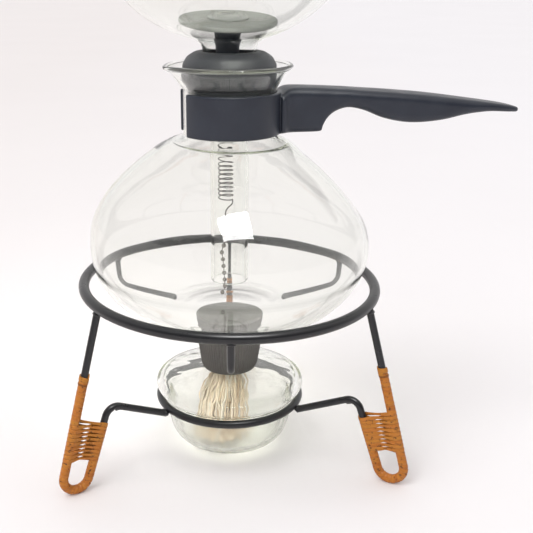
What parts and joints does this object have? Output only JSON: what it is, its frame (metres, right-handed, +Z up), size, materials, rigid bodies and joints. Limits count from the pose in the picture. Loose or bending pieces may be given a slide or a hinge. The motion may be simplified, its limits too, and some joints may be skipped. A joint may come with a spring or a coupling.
{
  "type": "siphon coffee maker",
  "caption": "Glass siphon coffee maker: globe funnel seated on a handled pot, held by a black wire stand with cane-bound feet over a small spirit lamp.",
  "frame": {"origin": "on the table, at the middle of the whole object's bounding box", "axes": "+Z up along the pot's axis, +X the side the handle points to, +Y away from the front prong"},
  "size_m": [0.2434, 0.1859, 0.325],
  "materials": {
    "satin_black": "satin black paint on round steel rod",
    "cane": "split rattan cane wound on, semi-gloss",
    "clear_glass": "clear heat-resistant glass, polished",
    "black_plastic": "smooth moulded plastic, satin",
    "black_rubber": "smooth moulded rubber",
    "filter_grey": "smooth grey plastic",
    "filter_mesh": "fine woven mesh",
    "filter_black": "smooth moulded plastic",
    "spring_steel": "bright steel wire",
    "holder_metal": "satin turned metal",
    "cotton": "twisted cotton yarn",
    "cap_black": "ribbed moulded plastic"
  },
  "bodies": {
    "stand": {"pot_ring": "satin_black", "leg_back": "satin_black", "leg_left": "satin_black", "leg_right": "satin_black", "lamp_ring": "satin_black", "prong_front": "satin_black", "prong_left": "satin_black", "prong_right": "satin_black", "cane_back": "cane", "cane_left": "cane", "cane_right": "cane"},
    "pot": {"pot_glass": "clear_glass", "pot_handle": "black_plastic"},
    "funnel": {"funnel_glass": "clear_glass", "gasket": "black_rubber"},
    "filter": {"filter_plate": "filter_grey", "filter_mesh": "filter_mesh", "filter_button": "filter_grey", "filter_plug": "filter_black", "filter_spring": "spring_steel", "spring_link": "spring_steel", "bead_chain": "spring_steel"},
    "lamp": {"lamp_glass": "clear_glass", "wick_holder": "holder_metal", "wick": "cotton"},
    "cap": {"snuffer_cap": "cap_black"}
  },
  "joints": [
    {"name": "pot_lift", "type": "slide", "parent": "stand", "child": "pot", "axis": [0, 0, 1], "range_m": [0, 0.03]},
    {"name": "funnel_lift", "type": "slide", "parent": "pot", "child": "funnel", "axis": [0, 0, 1], "range_m": [0, 0.13]},
    {"name": "filter_lift", "type": "slide", "parent": "funnel", "child": "filter", "axis": [0, 0, 1], "range_m": [0, 0.24]},
    {"name": "lamp_lift", "type": "slide", "parent": "stand", "child": "lamp", "axis": [0, 0, 1], "range_m": [0, 0.002]},
    {"name": "cap_lift", "type": "slide", "parent": "lamp", "child": "cap", "axis": [0, 0, 1], "range_m": [0, 0.002]}
  ]
}
